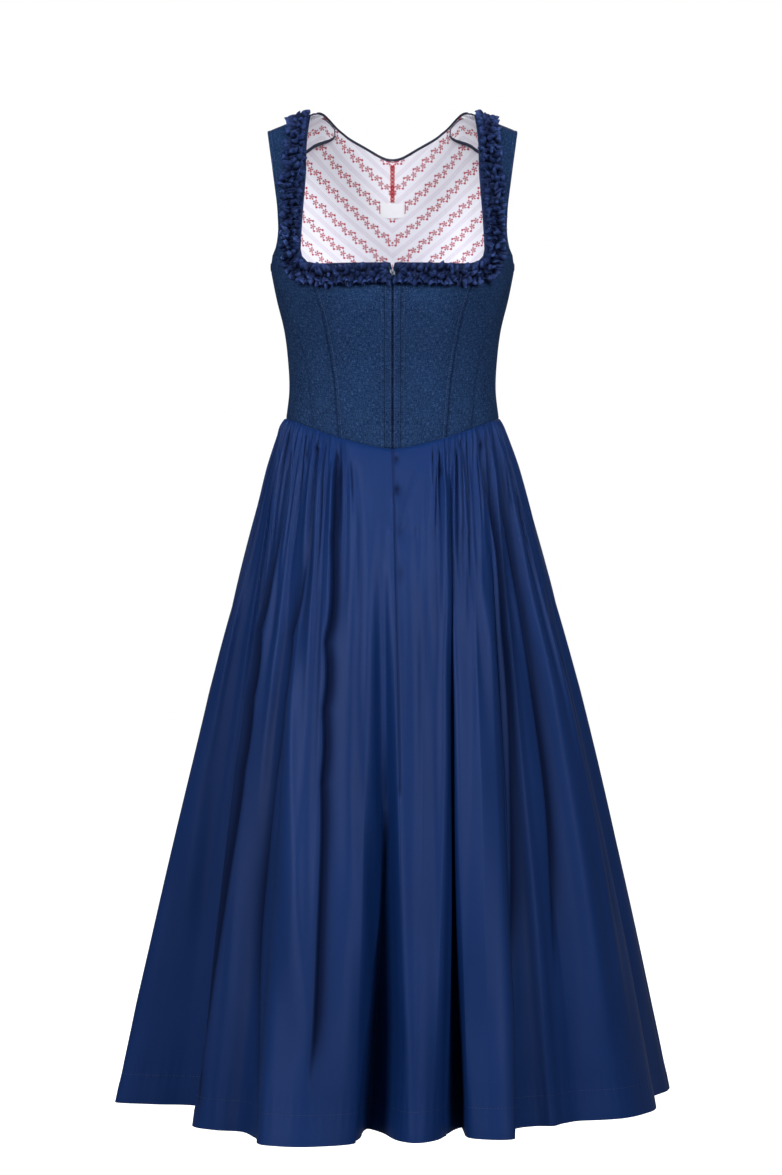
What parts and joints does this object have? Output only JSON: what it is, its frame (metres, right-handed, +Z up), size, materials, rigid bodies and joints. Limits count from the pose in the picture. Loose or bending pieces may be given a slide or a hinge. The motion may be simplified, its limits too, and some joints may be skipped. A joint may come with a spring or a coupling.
{
  "type": "gathered dirndl dress",
  "caption": "Sleeveless fitted dress with a square ruffled neckline, hooked front and full gathered skirt, filled out as if worn.",
  "frame": {"origin": "midway between the two shoulder straps, at the height where they rest on the wearer's shoulders", "axes": "+X to the wearer's left, +Y to the back, +Z up; the front faces -Y"},
  "size_m": [0.6741, 0.5769, 1.1917],
  "materials": {
    "linen": "matt linen weave with lighter slubs",
    "sateen": "smooth cotton sateen with a soft sheen",
    "ruffle": "fine plain cotton",
    "lining": "matt printed cotton",
    "hook": "bright wire"
  },
  "bodies": {
    "root": {"bodice_front_centre_left": "linen", "bodice_front_centre_right": "linen", "bodice_front_strap_left": "linen", "bodice_front_strap_right": "linen", "bodice_side_front_left": "linen", "bodice_side_front_right": "linen", "bodice_side_back_left": "linen", "bodice_side_back_right": "linen", "bodice_back_centre_left": "linen", "bodice_back_centre_right": "linen", "lining_back_left": "lining", "lining_back_right": "lining", "front_placket_left": "linen", "front_placket_right": "linen", "neck_ruffle_left": "ruffle", "neck_ruffle_right": "ruffle", "strap_facing_left": "lining", "strap_facing_right": "lining", "strap_binding_left": "ruffle", "strap_binding_right": "ruffle", "neck_piping": "ruffle", "neck_label": "lining", "front_hook": "hook", "front_eye": "hook", "skirt_front_left": "sateen", "skirt_back_left": "sateen", "skirt_back_right": "sateen", "skirt_front_right": "sateen"}
  },
  "joints": []
}
